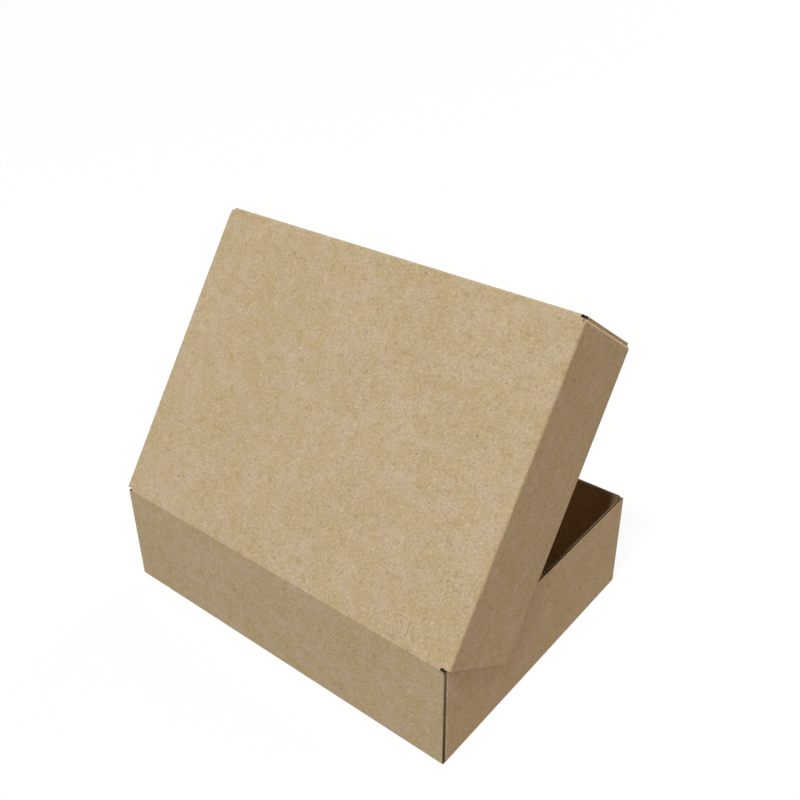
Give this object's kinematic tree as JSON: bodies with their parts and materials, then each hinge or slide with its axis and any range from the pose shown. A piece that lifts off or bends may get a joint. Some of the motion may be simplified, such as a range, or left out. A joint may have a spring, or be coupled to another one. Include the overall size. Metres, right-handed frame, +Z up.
{
  "type": "takeaway food box",
  "caption": "Hinged-lid takeaway food box folded from fine-fluted kraft board: a shallow tray, and a full-depth lid that shuts over its outside.",
  "frame": {"origin": "middle of the underside, on the surface that the box stands on", "axes": "+Z up, +Y towards the hinged back wall, +X along the width, to the right seen from the front"},
  "size_m": [0.2236, 0.165, 0.1971],
  "materials": {
    "kraft_base": "unbleached kraft paper faces, matt, with fine fibres and flecks",
    "kraft_lid": "unbleached kraft paper faces, matt, with fine fibres and flecks"
  },
  "bodies": {
    "base": {"base_tray": "kraft_base"},
    "lid": {"lid": "kraft_lid"}
  },
  "joints": [
    {"name": "lid_hinge", "type": "hinge", "parent": "base", "child": "lid", "pos_m": [0, 0.08175, 0.06105], "axis": [-1, 0, 0], "range_deg": [-54.5, 125.5]}
  ]
}
